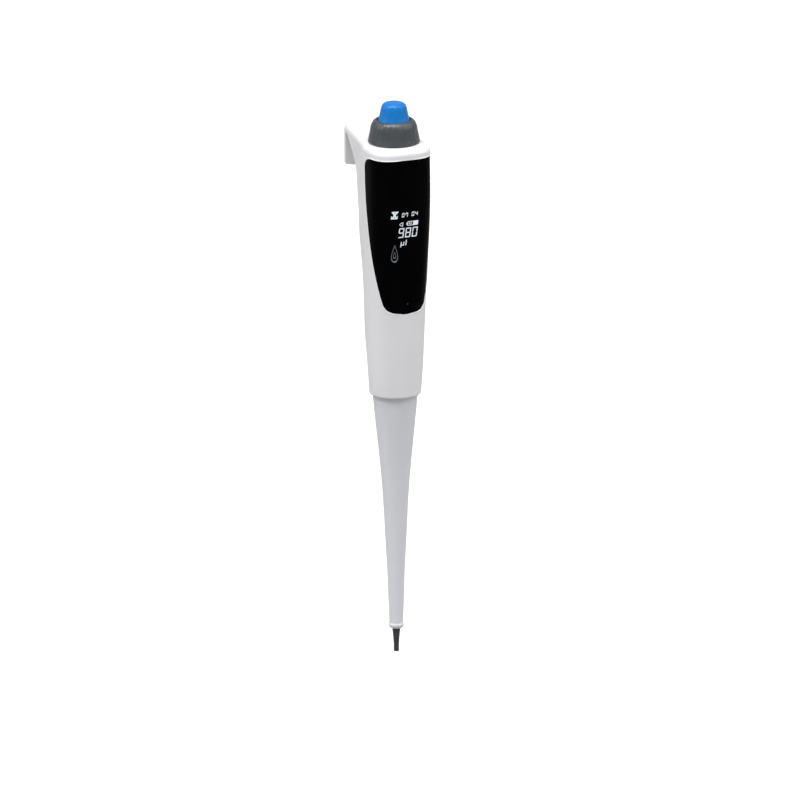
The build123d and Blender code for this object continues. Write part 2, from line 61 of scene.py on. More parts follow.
# ---- inner mouldings ----------------------------------------------------------
# The chassis, shaft, piston holder and ejector slide are injection moulded in natural off-white
# acetal and ABS, straight from the tool: a matt grain, faint flow marks and no paint.

MIX_A, MIX_B, MIX_COLOUR = 6, 7, 2  # a colour Mix node's two inputs and its output


def new_finish(name, **uniform):
    """A material, its node tree and its shader, with even values set on the shader's sockets."""
    material = bpy.data.materials.new(name)
    material.use_nodes = True
    shader = material.node_tree.nodes["Principled BSDF"]
    for socket, value in uniform.items():
        shader.inputs[socket.replace("_", " ")].default_value = value
    return material, material.node_tree, shader


def node(tree, kind, inputs, **settings):
    """One shader node: its settings, and for each input a value or the socket that feeds it."""
    made = tree.nodes.new("ShaderNode" + kind)
    for key, value in settings.items():
        setattr(made, key, value)
    for socket, source in inputs.items():
        if isinstance(source, bpy.types.NodeSocket):
            tree.links.new(source, made.inputs[socket])
        else:
            made.inputs[socket].default_value = source
    return made


def maths(tree, operation, first, second=0.0, third=0.0):
    """The output of one Math node."""
    return node(tree, "Math", {0: first, 1: second, 2: third}, operation=operation).outputs[0]


def spread(tree, value, low, high, to_low=0.0, to_high=1.0):
    """A value's range from low to high, stretched smoothly to another range."""
    inputs = {"Value": value, "From Min": low, "From Max": high, "To Min": to_low,
              "To Max": to_high}
    return node(tree, "MapRange", inputs, interpolation_type="SMOOTHSTEP").outputs[0]


def blend_colours(tree, share, first, second):
    """Two colours mixed by a share."""
    made = node(tree, "Mix", {0: share, MIX_A: first, MIX_B: second}, data_type="RGBA")
    return made.outputs[MIX_COLOUR]


def object_place(tree, stretch=None):
    """The place on the object, in metres, with each axis stretched where that is asked for."""
    place = tree.nodes.new("ShaderNodeTexCoord").outputs["Object"]
    if stretch is None:
        return place
    return node(tree, "VectorMath", {0: place, 1: stretch}, operation="MULTIPLY").outputs[0]


def noise(tree, place, scale, detail):
    """The value of one Noise node."""
    return node(tree, "TexNoise", {"Vector": place, "Scale": scale, "Detail": detail}).outputs[0]


def bumps(tree, height, strength, distance):
    """A normal raised and sunk by a height, over a distance in metres."""
    made = node(tree, "Bump", {"Height": height, "Strength": strength, "Distance": distance})
    return made.outputs[0]


def feed(tree, shader, **sources):
    """Links what feeds the shader's own sockets."""
    for socket, source in sources.items():
        tree.links.new(source, shader.inputs[socket.replace("_", " ")])


def new_effect(name, inputs, outputs):
    """An empty node group with named sockets: the group, what comes in and where it goes out."""
    tree = bpy.data.node_groups.new(name, "ShaderNodeTree")
    for label, (kind, value) in inputs.items():
        socket = tree.interface.new_socket(label, in_out="INPUT", socket_type="NodeSocket" + kind)
        socket.default_value = value
    for label, kind in outputs.items():
        tree.interface.new_socket(label, in_out="OUTPUT", socket_type="NodeSocket" + kind)
    return tree, tree.nodes.new("NodeGroupInput").outputs, tree.nodes.new("NodeGroupOutput").inputs


def use_effect(tree, group, **inputs):
    """An effect placed in a material with its own values. Gives its outputs."""
    named = {key.replace("_", " "): value for key, value in inputs.items()}
    return node(tree, "Group", named, node_tree=group).outputs


def make_moulded_grain():
    """A spark-eroded tool's grain: fine noise over tiny smooth pits, and gloss in soft patches."""
    tree, given, out = new_effect(
        "moulded_grain",
        {"Grains per Metre": ("Float", 3000.0), "Roughness": ("Float", 0.5),
         "Patchiness": ("Float", 0.05)},
        {"Height": "Float", "Roughness": "Float"})
    place = object_place(tree)
    grains = given["Grains per Metre"]
    fine = noise(tree, place, grains, 2.0)
    pit_scale = maths(tree, "MULTIPLY", grains, 0.7)
    pits = node(tree, "TexVoronoi", {"Vector": place, "Scale": pit_scale},
                feature="SMOOTH_F1").outputs[0]
    tree.links.new(maths(tree, "MULTIPLY_ADD", pits, 0.5, fine), out["Height"])
    patch = noise(tree, place, 55.0, 3.0)
    swing = maths(tree, "MULTIPLY", spread(tree, patch, 0.35, 0.65, -1.0, 1.0), given["Patchiness"])
    tree.links.new(maths(tree, "ADD", given["Roughness"], swing), out["Roughness"])
    return tree


def make_aged_tone():
    """A plastic's colour: two near shades in drifting patches, with a faint finer mottle."""
    tree, given, out = new_effect(
        "aged_tone",
        {"Fresh": ("Color", (0.8, 0.8, 0.8, 1)), "Aged": ("Color", (0.7, 0.7, 0.68, 1)),
         "Patch Scale": ("Float", 60.0)},
        {"Color": "Color"})
    place = object_place(tree)
    drift = noise(tree, place, given["Patch Scale"], 4.0)
    mottle = noise(tree, place, maths(tree, "MULTIPLY", given["Patch Scale"], 14.0), 2.0)
    share = maths(tree, "MULTIPLY_ADD", mottle, 0.25, spread(tree, drift, 0.35, 0.7, 0.0, 0.75))
    tree.links.new(blend_colours(tree, share, given["Fresh"], given["Aged"]), out["Color"])
    return tree


moulded_grain = make_moulded_grain()
aged_tone = make_aged_tone()


def moulded_plastic(name, fresh, aged, rough, grains=3000.0, depth=0.012 * mm, patches=60.0,
                    **uniform):
    """A moulded plastic: toned colour, grained roughness and a grain bump of a depth in metres."""
    material, tree, shader = new_finish(name, **uniform)
    tone = use_effect(tree, aged_tone, Fresh=(*fresh, 1), Aged=(*aged, 1), Patch_Scale=patches)
    grain = use_effect(tree, moulded_grain, Grains_per_Metre=grains, Roughness=rough,
                       Patchiness=0.06)
    feed(tree, shader, Base_Color=tone["Color"], Roughness=grain["Roughness"],
         Normal=bumps(tree, grain["Height"], 0.5, depth))
    return material


def dress(material, *names):
    """Gives CAD nodes their finish."""
    for name in names:
        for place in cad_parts[name].material_slots:
            place.material = material


dress(moulded_plastic("natural_acetal", (0.68, 0.68, 0.66), (0.60, 0.60, 0.56), 0.48),
      "chassis_frame", "chassis_base", "chassis_head", "shaft_body", "piston_holder", "seal_gland",
      "ejector_plunger", "ejector_collar", "encoder_ring")

# ---- seals --------------------------------------------------------------------
# The piston runs in a turned PTFE ring that a black elastomer o-ring squeezes inward.
# PTFE is milky and waxy; the o-ring is moulded rubber with a dull bloom.

dress(moulded_plastic("waxy_ptfe", (0.84, 0.84, 0.80), (0.78, 0.77, 0.72), 0.38, grains=1500.0),
      "piston_seal")
dress(moulded_plastic("black_elastomer", (0.022, 0.022, 0.023), (0.045, 0.045, 0.043), 0.72,
                      grains=2400.0), "seal_oring")

# ---- drive metal --------------------------------------------------------------
# Motor can, bearings, screws, springs and rods are bright steel, turned, drawn or pressed. Fine
# lines run round them, and the gloss breaks up where oil and handling have dulled it.


def make_turning_marks():
    """Lines round a turned part: noise squeezed flat, so it changes along Z and hardly across."""
    tree, given, out = new_effect(
        "turning_marks", {"Lines per Metre": ("Float", 9000.0), "Roughness": ("Float", 0.3)},
        {"Height": "Float", "Roughness": "Float", "Shade": "Float"})
    lines = noise(tree, object_place(tree, (0.04, 0.04, 1.0)), given["Lines per Metre"], 3.0)
    tree.links.new(lines, out["Height"])
    tree.links.new(maths(tree, "MULTIPLY_ADD", lines, 0.22, given["Roughness"]), out["Roughness"])
    film = noise(tree, object_place(tree), 300.0, 4.0)
    tree.links.new(spread(tree, film, 0.4, 0.7), out["Shade"])
    return tree


turning_marks = make_turning_marks()


def worked_metal(name, bright, dull, rough, lines=9000.0):
    """A turned or drawn metal with its working lines and a patchy film."""
    material, tree, shader = new_finish(name, Metallic=1.0)
    marks = use_effect(tree, turning_marks, Lines_per_Metre=lines, Roughness=rough)
    colour = blend_colours(tree, marks["Shade"], (*bright, 1), (*dull, 1))
    feed(tree, shader, Base_Color=colour, Roughness=marks["Roughness"],
         Normal=bumps(tree, marks["Height"], 0.4, 0.006 * mm))
    return material


dress(worked_metal("turned_steel", (0.66, 0.66, 0.68), (0.50, 0.50, 0.51), 0.22),
      "motor_can", "motor_cap", "bearing_lower", "bearing_upper", "lead_screw", "piston_rod",
      "ejector_rod", "button_stem", "rotor_magnet", "button_magnet")
drawn_wire = worked_metal("spring_steel", (0.58, 0.58, 0.60), (0.40, 0.40, 0.42), 0.30,
                          lines=20000.0)
dress(drawn_wire, "detent_spring", "backlash_spring", "rod_clip", "stem_clip", "dial_clip",
      "contact_lower", "contact_upper")
dress(worked_metal("turned_brass", (0.78, 0.60, 0.30), (0.62, 0.44, 0.20), 0.24), "rotor_nut")
dress(worked_metal("enamelled_copper", (0.72, 0.36, 0.18), (0.55, 0.23, 0.10), 0.34, lines=5200.0),
      "motor_coils")

# ---- return springs -----------------------------------------------------------
# Two coil springs of drawn steel wire: a stout one lifts the ejector, a lighter one the button.
# They are wound cold with flatter end coils.

crease_angle = math.radians(38)  # edges bent more than this are drawn sharp


def skin(name, patches, material, around=False, along=False, capped=False):
    """One mesh from grids of points (rows, columns, 3): each cell of a grid is a quad, counted as
    whole index arrays. A grid may close around its columns or along its rows, and a capped one
    has its first and last rows fanned to their middles."""
    points, faces, used = [], [], 0
    for grid in patches:
        rows, columns = grid.shape[:2]
        r = np.arange(rows if along else rows - 1)[:, None]
        c = np.arange(columns if around else columns - 1)[None, :]
        corners = [(r, c), (r, c + 1), (r + 1, c + 1), (r + 1, c)]
        cells = [(a % rows) * columns + b % columns + used for a, b in corners]
        quads = [np.broadcast_to(x, (r.size, c.size)).ravel() for x in cells]
        faces += np.stack(quads, -1).tolist()
        points.append(grid.reshape(-1, 3))
        if capped:
            edge, after = np.arange(columns), (np.arange(columns) + 1) % columns
            first, last, middle = used, used + (rows - 1) * columns, used + rows * columns
            fans = ((first + after, first + edge, middle), (last + edge, last + after, middle + 1))
            for one, two, centre in fans:
                faces += np.stack([one, two, np.full(columns, centre)], -1).tolist()
            points.append(np.stack([grid[0].mean(axis=0), grid[-1].mean(axis=0)]))
        used = sum(len(p) for p in points)
    mesh = bpy.data.meshes.new(name)
    mesh.from_pydata(np.concatenate(points).tolist(), [], faces)
    mesh.shade_smooth()
    mesh.set_sharp_from_angle(angle=crease_angle)
    mesh.materials.append(material)
    piece = bpy.data.objects.new(name, mesh)
    bpy.context.scene.collection.objects.link(piece)
    return piece


def spring_wire(mean, wire, low_z, high_z, turns):
    """A coiled wire: its line climbs by share = part - flatten * sin(2 pi part) of its height, so
    the end coils lie flatter; a circle of the wire's radius is carried along it, as
    cos * outward + sin * upward."""
    steps_per_turn, sides, flatten = 36, 12, 0.06
    turn = np.linspace(0, 2 * np.pi * turns, steps_per_turn * turns)[:, None]
    share = turn / turn[-1] - flatten * np.sin(2 * np.pi * turn / turn[-1])
    rise = low_z + wire + (high_z - low_z - 2 * wire) * share
    outward = np.hstack([np.cos(turn), np.sin(turn), 0 * turn])
    line = mean * outward + rise * (0, 0, 1)
    ahead = np.gradient(line, axis=0)
    ahead /= np.linalg.norm(ahead, axis=1)[:, None]
    upward = np.cross(outward, ahead)
    a = np.linspace(0, 2 * np.pi, sides, endpoint=False)[None, :, None]
    circle = np.cos(a) * outward[:, None] + np.sin(a) * upward[:, None]
    return (line[:, None] + wire * circle) * mm


for name, body, joint, travel, mean, wire, foot, head, turns in (
        ("ejector_return_spring", "handle", "tip_eject", 6.0, 5.5, 0.45, 226.0, 238.45, 5),
        ("button_return_spring", "ejector", "button_click", 1.5, 3.4, 0.35, 270.0, 277.25, 4)):
    coil = spring_wire(mean, wire, foot, head, turns)
    spring = skin(name, [coil], drawn_wire, around=True, capped=True)
    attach(spring, body)
    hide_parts(name.replace("_return", ""))
    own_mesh(spring)

# ---- boards and chips ---------------------------------------------------------
# Glass-fibre boards under green solder resist, an amber flexible circuit to the display, and
# black moulded packages. The tracks show through the resist as slightly raised, paler lines.


def tracked_board(name, resist, track, pitch=900.0):
    """A circuit board: staggered right-angled tracks laid in the plane that faces the display."""
    material, tree, shader = new_finish(name, Roughness=0.32)
    face = node(tree, "Mapping", {"Vector": object_place(tree), "Rotation": (math.pi / 2, 0, 0)})
    tracks = node(tree, "TexBrick", {
        "Vector": face.outputs[0], "Color1": (*resist, 1), "Color2": (*resist, 1),
        "Mortar": (*track, 1), "Scale": pitch, "Mortar Size": 0.06, "Mortar Smooth": 0.2,
        "Brick Width": 1.7, "Row Height": 0.45})
    weave = use_effect(tree, aged_tone, Fresh=(*resist, 1), Aged=(*track, 1), Patch_Scale=220.0)
    mixed = blend_colours(tree, 0.25, tracks.outputs["Color"], weave["Color"])
    feed(tree, shader, Base_Color=mixed, Normal=bumps(tree, tracks.outputs["Fac"], 0.5, 0.03 * mm))
    return material


dress(tracked_board("green_resist", (0.012, 0.11, 0.045), (0.05, 0.26, 0.11)),
      "main_board", "encoder_board", "charge_board")
dress(tracked_board("amber_flex", (0.46, 0.22, 0.04), (0.62, 0.34, 0.10), pitch=2500.0),
      "display_ribbon")
dress(moulded_plastic("black_package", (0.018, 0.018, 0.02), (0.035, 0.035, 0.036), 0.6,
                      grains=6000.0), "processor_chip", "buzzer", "button_sensor")

# ---- battery cell -------------------------------------------------------------
# One slim lithium cell in a tight blue heat-shrunk sleeve. The film is glossy and puckers in
# fine creases that run round the cell.

cell_film, tree, shader = new_finish("shrunk_film", Coat_Weight=0.4, Coat_Roughness=0.1)
film_tone = use_effect(tree, aged_tone, Fresh=(0.02, 0.09, 0.30, 1), Aged=(0.03, 0.13, 0.38, 1),
                       Patch_Scale=120.0)
creases = use_effect(tree, turning_marks, Lines_per_Metre=700.0, Roughness=0.24)
feed(tree, shader, Base_Color=film_tone["Color"], Roughness=creases["Roughness"],
     Normal=bumps(tree, creases["Height"], 0.4, 0.05 * mm))
dress(cell_film, "battery_cell")

# ---- nozzle -------------------------------------------------------------------
# The slim nozzle a disposable tip is pushed onto, moulded in charcoal PVDF. It keeps its tool's
# grain, and tips going on and off have rubbed its edges paler.


def make_rubbed_edges():
    """Where edges are rubbed: the rounded normal leaves the true one, broken up by a fine noise."""
    tree, given, out = new_effect(
        "rubbed_edges", {"Width": ("Float", 0.3 * mm), "Amount": ("Float", 0.5)}, {"Mask": "Float"})
    rounded = node(tree, "Bevel", {"Radius": given["Width"]}, samples=4).outputs[0]
    true_normal = tree.nodes.new("ShaderNodeNewGeometry").outputs["Normal"]
    agree = node(tree, "VectorMath", {0: rounded, 1: true_normal},
                 operation="DOT_PRODUCT").outputs["Value"]
    bend = spread(tree, agree, 0.985, 0.86)
    scuff = noise(tree, object_place(tree), 900.0, 3.0)
    broken = maths(tree, "MULTIPLY", bend, spread(tree, scuff, 0.3, 0.6))
    tree.links.new(maths(tree, "MULTIPLY", broken, given["Amount"]), out["Mask"])
    return tree


rubbed_edges = make_rubbed_edges()


def rub(material, colour, width, amount):
    """Lightens a finish towards a rubbed colour along its edges."""
    tree = material.node_tree
    base = tree.nodes["Principled BSDF"].inputs["Base Color"]
    worn = use_effect(tree, rubbed_edges, Width=width, Amount=amount)
    tree.links.new(blend_colours(tree, worn["Mask"], base.links[0].from_socket, (*colour, 1)), base)
    return material


charcoal = moulded_plastic("charcoal_moulding", (0.026, 0.028, 0.032), (0.036, 0.039, 0.044), 0.32,
                           grains=5000.0)
rub(charcoal, (0.10, 0.10, 0.105), 0.15 * mm, 0.5)
dress(charcoal, "tip_cone")

# ---- housing ------------------------------------------------------------------
# The white handle with its finger hook, gas-assisted ABS in one shot, and the cover that matches
# it: satin, faintly grained, glossier in soft patches, with its edges rubbed by handling.

housing_white = moulded_plastic("housing_white", (0.765, 0.755, 0.775), (0.735, 0.728, 0.745), 0.36,
                                grains=2600.0, depth=0.008 * mm, patches=35.0)
rub(housing_white, (0.86, 0.86, 0.86), 0.25 * mm, 0.35)
dress(housing_white, "main_housing", "battery_cover")

# ---- display panel ------------------------------------------------------------
# A gloss black acrylic panel, flush with the housing and wrapped round both its sides. It is
# polished, so only faint wiping streaks and fingertip smears break its reflection.

panel_black, tree, shader = new_finish("panel_black", Specular_IOR_Level=0.015)
smear = noise(tree, object_place(tree, (1.0, 1.0, 0.35)), 90.0, 5.0)
tint = blend_colours(tree, spread(tree, smear, 0.4, 0.8), (0.0006, 0.0006, 0.0008, 1),
                     (0.0016, 0.0016, 0.002, 1))
feed(tree, shader, Base_Color=tint, Roughness=spread(tree, smear, 0.45, 0.75, 0.05, 0.16))
dress(panel_black, "display_lens")

# The housing's outer face, as half width, front depth and squareness at heights up the handle.
face_rows = np.array([
    (131.8, 12.85, 12.85, 2.0), (153.6, 14.0, 14.1, 2.1), (177.0, 14.6, 15.2, 2.3),
    (203.0, 15.2, 16.3, 2.8), (226.0, 15.75, 17.1, 3.2), (243.0, 15.8, 17.2, 3.3),
    (259.5, 15.8, 17.2, 3.3)])


def smooth_rows(heights, rows):
    """Natural cubic through rows of (height, values); second slopes solve a tridiagonal set."""
    at, values = rows[:, 0], rows[:, 1:]
    gap = np.diff(at)
    matrix = np.diag(np.r_[1.0, 2 * (gap[:-1] + gap[1:]), 1.0])
    matrix += np.diag(np.r_[0.0, gap[1:]], 1) + np.diag(np.r_[gap[:-1], 0.0], -1)
    slope = np.diff(values, axis=0) / gap[:, None]
    turns = np.vstack([0 * values[:1], 3 * np.diff(slope, axis=0), 0 * values[:1]])
    bend = np.linalg.solve(matrix, turns)
    i = np.clip(np.searchsorted(at, heights) - 1, 0, len(gap) - 1)
    h, t = gap[i][..., None], (heights - at[i])[..., None]
    first = slope[i] - h * (2 * bend[i] + bend[i + 1]) / 3
    return values[i] + first * t + bend[i] * t ** 2 + (bend[i + 1] - bend[i]) / (3 * h) * t ** 3


def front_face(across_mm, height_mm, lift_mm):
    """The handle's front: depth = -front (1 - |x/width|^n)^(1/n) on each superellipse section,
    with front and width both grown by a lift."""
    width, front, square = np.moveaxis(smooth_rows(height_mm, face_rows), -1, 0)
    share = np.abs(across_mm / (width + lift_mm))
    depth = -(front + lift_mm) * (1 - share ** square) ** (1 / square)
    return np.stack([across_mm, depth, height_mm], axis=-1) * mm


# ---- panel edge bead ----------------------------------------------------------
# The housing's lip round the panel, a rounded bead 0.4 mm wide that covers the glue gap.
# It is part of the same white moulding, polished by the tool, and its whiter colour is a painted
# highlight.

bead_radius, bead_sides, bead_steps = 0.20, 10, 300
panel_side = np.array([(-0.5, 248.0), (-1.0, 239.0), (-2.8, 225.0), (-5.3, 211.0), (-8.9, 193.0),
                       (-11.2, 181.0)])
panel_low, panel_top, panel_corner = (-16.5, 175.6), 254.4, 8.5
# How far the Bezier arms of the corners reach, and in how many steps each stretch is drawn.
corner_pull, corner_rise, foot_fall, foot_depth = 0.48, 4.4, 3.4, -14.0
top_start, top_steps, side_steps, curve_steps = -17.0, 30, 60, 24


def bezier(points, count):
    """A Bezier curve through its end points: Bernstein weights times the control points."""
    t = np.linspace(0, 1, count)[:, None]
    n = len(points) - 1
    weights = np.hstack([math.comb(n, k) * t ** k * (1 - t) ** (n - k) for k in range(n + 1)])
    return weights @ np.array(points, float)


def panel_outline():
    """The panel's edge on the handle's left half as (y, z), from top middle to bottom middle."""
    heights = np.linspace(panel_side[0, 1], panel_side[-1, 1], side_steps)
    side = np.column_stack([smooth_rows(heights, panel_side[::-1][:, ::-1])[:, 0], heights])
    down = (side[-1] - side[-2]) / np.linalg.norm(side[-1] - side[-2])
    up = (side[0] - side[1]) / np.linalg.norm(side[0] - side[1])
    foot = bezier([side[-1], side[-1] + down * foot_fall, (foot_depth, panel_low[1]), panel_low],
                  curve_steps)
    bend_start = (side[0, 0] - panel_corner, panel_top)
    bend_pull = (side[0, 0] - corner_pull * panel_corner, panel_top)
    bend = bezier([bend_start, bend_pull, side[0] + up * corner_rise, side[0]], curve_steps)
    across = np.linspace(top_start, bend[0, 0], top_steps)[:-1]
    top = np.column_stack([across, np.full_like(across, panel_top)])
    return np.vstack([top, bend, side[1:], foot[1:]])


def bead_path():
    """The outline carried to the outer face, x = -width (1 - |y/front|^n)^(1/n), then mirrored to
    the right and spaced evenly."""
    outline = panel_outline()
    width, front, square = np.moveaxis(smooth_rows(outline[:, 1], face_rows), -1, 0)
    share = np.clip(1 - np.abs(outline[:, 0] / front) ** square, 0, None)
    kept = np.abs(outline[:, 0]) < front * 0.9999
    left = np.column_stack([-width * share ** (1 / square), outline])[kept]
    middle_top, middle_low = left[0] * (0, 1, 1), left[-1] * (0, 1, 1)
    half = np.vstack([middle_top, left, middle_low])
    gaps = np.r_[0, np.cumsum(np.linalg.norm(np.diff(half, axis=0), axis=1))]
    even = np.linspace(0, gaps[-1], bead_steps)
    half = np.column_stack([np.interp(even, gaps, half[:, k]) for k in range(3)])
    return np.vstack([half, (half * (-1, 1, 1))[-2:0:-1]])


def tube_along(path, radius, sides):
    """A closed tube: at each point of a path a circle across it, drawn on outward and on
    side = tangent x outward."""
    tangent = np.roll(path, -1, axis=0) - np.roll(path, 1, axis=0)
    tangent /= np.linalg.norm(tangent, axis=1)[:, None]
    outward = path * (1, 1, 0)
    outward -= tangent * np.sum(outward * tangent, axis=1)[:, None]
    outward /= np.linalg.norm(outward, axis=1)[:, None]
    side = np.cross(tangent, outward)
    turn = np.linspace(0, 2 * np.pi, sides, endpoint=False)[None, :, None]
    circle = np.cos(turn) * side[:, None] + np.sin(turn) * outward[:, None]
    return (path[:, None] + radius * circle) * mm


# The bead's colour is painted whiter than the housing's white as a painted highlight along the
# panel's edge; its low roughness is the polished lip's gloss.
lip_painted_highlight = moulded_plastic("lip_painted_highlight", (0.90, 0.90, 0.91), (0.86, 0.86, 0.87), 0.18,
                               grains=2600.0, depth=0.003 * mm)
bead_tube = tube_along(bead_path(), bead_radius, bead_sides)
bead = skin("panel_edge_bead", [bead_tube], lip_painted_highlight, around=True, along=True)
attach(bead, "handle")

# ---- service cover ribs -------------------------------------------------------
# Five low rounded ribs across the service cover, moulded with it, give a thumb something to
# push on when the cover is lifted out of its seam.

rib_half_length, rib_proud, rib_half_height = 4.2, 0.30, 0.55
rib_heights = (181.0, 183.4, 185.8, 188.2, 190.6)
rib_end, rib_steps, rib_sides = 0.985, 41, 16


def grip_rib(height_mm):
    """A rib on the handle's back: a flattened circle carried across it, whose size falls as
    sqrt(1 - t^6) towards each end."""
    t = np.linspace(-rib_end, rib_end, rib_steps)[:, None]
    a = np.linspace(0, 2 * np.pi, rib_sides, endpoint=False)[None, :]
    size = np.sqrt(1 - t ** 6)
    seat = front_face(rib_half_length * t, np.full_like(t, height_mm), 0.0) / mm
    x = seat[..., 0] + 0 * a
    y = -seat[..., 1] + rib_proud * size * np.cos(a)
    z = height_mm + rib_half_height * size * np.sin(a)
    return np.stack([x, y, z], axis=-1) * mm


ribs = skin("cover_grip_ribs", [grip_rib(z) for z in rib_heights], housing_white, around=True,
            capped=True)
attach(ribs, "handle")

# ---- read-out -----------------------------------------------------------------
# What the lit display shows through the panel: the volume in slanted seven-stroke figures, its
# unit, two small settings, a mode mark, a sound mark and a battery gauge, all drawn in light.

readout_light, tree, shader = new_finish("readout_light", Base_Color=(0, 0, 0, 1), Roughness=0.3,
                                         Emission_Strength=1.0)
dots = object_place(tree, (5200.0, 0.0, 5200.0))
cells = node(tree, "TexVoronoi", {"Vector": dots, "Scale": 1.0, "Randomness": 0.0}).outputs[0]
glow = blend_colours(tree, spread(tree, cells, 0.3, 0.75), (0.78, 0.83, 0.88, 1),
                     (0.46, 0.57, 0.68, 1))
feed(tree, shader, Emission_Color=glow)

stroke_lift, stroke_thickness = 0.05, 0.06 * mm
stroke_grid = 7
slant = 0.14


def light_patch(corners):
    """A lit stroke: four corners (x, z) blended bilinearly over a small grid on the front."""
    share = np.linspace(0, 1, stroke_grid)
    u, v = share[None, :, None], share[:, None, None]
    low_left, low_right, high_right, high_left = np.array(corners, float)
    low, high = (1 - u) * low_left + u * low_right, (1 - u) * high_left + u * high_right
    flat = (1 - v) * low + v * high
    return front_face(flat[..., 0], flat[..., 1], stroke_lift)


def leaning(quads, x, z):
    """Strokes drawn from a corner at the origin, slanted, and moved to their place."""
    return [[(x + a + slant * b, z + b) for a, b in quad] for quad in quads]


def bar(x0, z0, x1, z1):
    """An upright rectangle."""
    return [(x0, z0), (x1, z0), (x1, z1), (x0, z1)]


# The seven strokes are lettered clockwise from the top, a to f, with g across the middle.
lit_strokes = {"0": "abcdef", "4": "bcfg", "7": "abcf", "8": "abcdefg", "9": "abcdfg"}


def figure(digit, width, height, stroke):
    """A seven-stroke figure: mitred bars round a box, a small gap g apart, and one across it."""
    s, g, half = stroke, stroke * 0.12, height / 2
    right, top, below, above = width - s, height - s, half - s * 0.5 - g, half + s * 0.5 + g
    drawn = {
        "a": [(width - g, height), (right - g, top), (s + g, top), (g, height)],
        "b": [(right, above), (width, half + g), (width, height - g), (right, top - g)],
        "c": [(right, s + g), (width, g), (width, half - g), (right, below)],
        "d": [(g, 0), (width - g, 0), (right - g, s), (s + g, s)],
        "e": [(0, g), (s, s + g), (s, below), (0, half - g)],
        "f": [(0, half + g), (s, above), (s, top - g), (0, height - g)],
        "g": bar(s * 0.7, half - s / 2, width - s * 0.7, half + s / 2),
    }
    return [drawn[letter] for letter in lit_strokes[digit]]


def figures(digits, x, z, width, height, pitch, stroke):
    """A row of figures."""
    rows = [leaning(figure(digit, width, height, stroke), x + k * pitch, z)
            for k, digit in enumerate(digits)]
    return [quad for row in rows for quad in row]


volume = figures("980", -4.9, 215.3, 2.75, 4.9, 3.55, 0.50)
settings = (figures("07", -3.05, 225.7, 1.3, 2.15, 1.8, 0.36)
            + figures("04", 2.1, 225.9, 1.35, 2.15, 1.9, 0.36))
mode_mark = leaning([
    bar(0.0, 3.15, 3.3, 3.75), bar(0.0, 0.0, 3.3, 0.6),
    [(0.35, 0.6), (1.25, 0.6), (2.95, 3.15), (2.05, 3.15)],
    [(2.05, 0.6), (2.95, 0.6), (1.25, 3.15), (0.35, 3.15)],
    bar(0.0, 0.6, 0.35, 1.5), bar(2.95, 0.6, 3.3, 1.5),
], -8.5, 225.1)
sound_mark = leaning([
    [(0.0, 1.1), (1.3, 0.0), (1.3, 0.42), (0.42, 1.1)],
    [(0.0, 1.1), (0.42, 1.1), (1.3, 1.78), (1.3, 2.2)],
    bar(1.6, 0.0, 1.95, 2.2),
], -4.4, 221.0)
gauge = leaning([
    bar(0.0, 0.6, 0.4, 1.6), bar(0.5, 0.0, 3.5, 0.28), bar(0.5, 1.92, 3.5, 2.2),
    bar(0.5, 0.28, 0.85, 1.92), bar(1.35, 0.55, 1.75, 1.65), bar(2.25, 0.55, 2.65, 1.65),
    bar(3.5, 0.0, 6.2, 2.2),
], -0.65, 221.2)
unit = leaning([
    bar(0.0, -0.8, 0.42, 1.9), bar(0.42, 0.0, 1.35, 0.42), bar(1.35, 0.0, 1.77, 1.9),
    bar(2.5, 0.0, 2.95, 2.75),
], -3.55, 211.3)
readouts = {"volume_figures": volume, "setting_figures": settings, "mode_mark": mode_mark,
            "sound_mark": sound_mark, "battery_gauge": gauge, "volume_unit": unit}


def thicken(piece, label, offset):
    """Gives a thin skin the strokes' thickness, all inward (-1) or half to each side (0)."""
    wall = piece.modifiers.new(label, "SOLIDIFY")
    wall.thickness, wall.offset = stroke_thickness, offset


for name, quads in readouts.items():
    marks = skin(name, [light_patch(quad) for quad in quads], readout_light)
    thicken(marks, "stroke", -1.0)
    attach(marks, "handle")

# ---- droplet mark and status light --------------------------------------------
# A plain droplet outline in thin grey pad print beside the unit, and a tiny amber status light
# near the panel's foot, dark while the pipette is idle.

pad_grey, tree, shader = new_finish("pad_print_grey", Roughness=0.5)
print_tone = use_effect(tree, aged_tone, Fresh=(0.17, 0.20, 0.22, 1), Aged=(0.08, 0.10, 0.11, 1),
                        Patch_Scale=1500.0)
feed(tree, shader, Base_Color=print_tone["Color"])


def droplet_band(scale, x, z, width, height, line):
    """A droplet outline as a turns once: half width = width/2 sin(a) sin(a/2)^1.3, half height =
    height/2 cos(a). Copies of it that shrink by up to the line's width make it a band."""
    a = np.linspace(0, 2 * np.pi, 97)[:-1]
    sideways = np.sin(a) * np.abs(np.sin(a / 2)) ** 1.3
    upward = np.cos(a)
    shrink = np.linspace(0, line, 3)[:, None]
    flat_x = x + scale * (width / 2 - shrink) * sideways
    flat_z = z + scale * (height / 2 - shrink * 1.8) * upward
    return front_face(flat_x, flat_z, stroke_lift)


droplet_bands = [droplet_band(1.0, -6.4, 207.3, 4.6, 9.2, 0.42),
                 droplet_band(0.42, -6.4, 206.6, 4.4, 8.6, 0.7)]
droplet = skin("droplet_mark", droplet_bands, pad_grey, around=True)
thicken(droplet, "ink", 0.0)
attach(droplet, "handle")

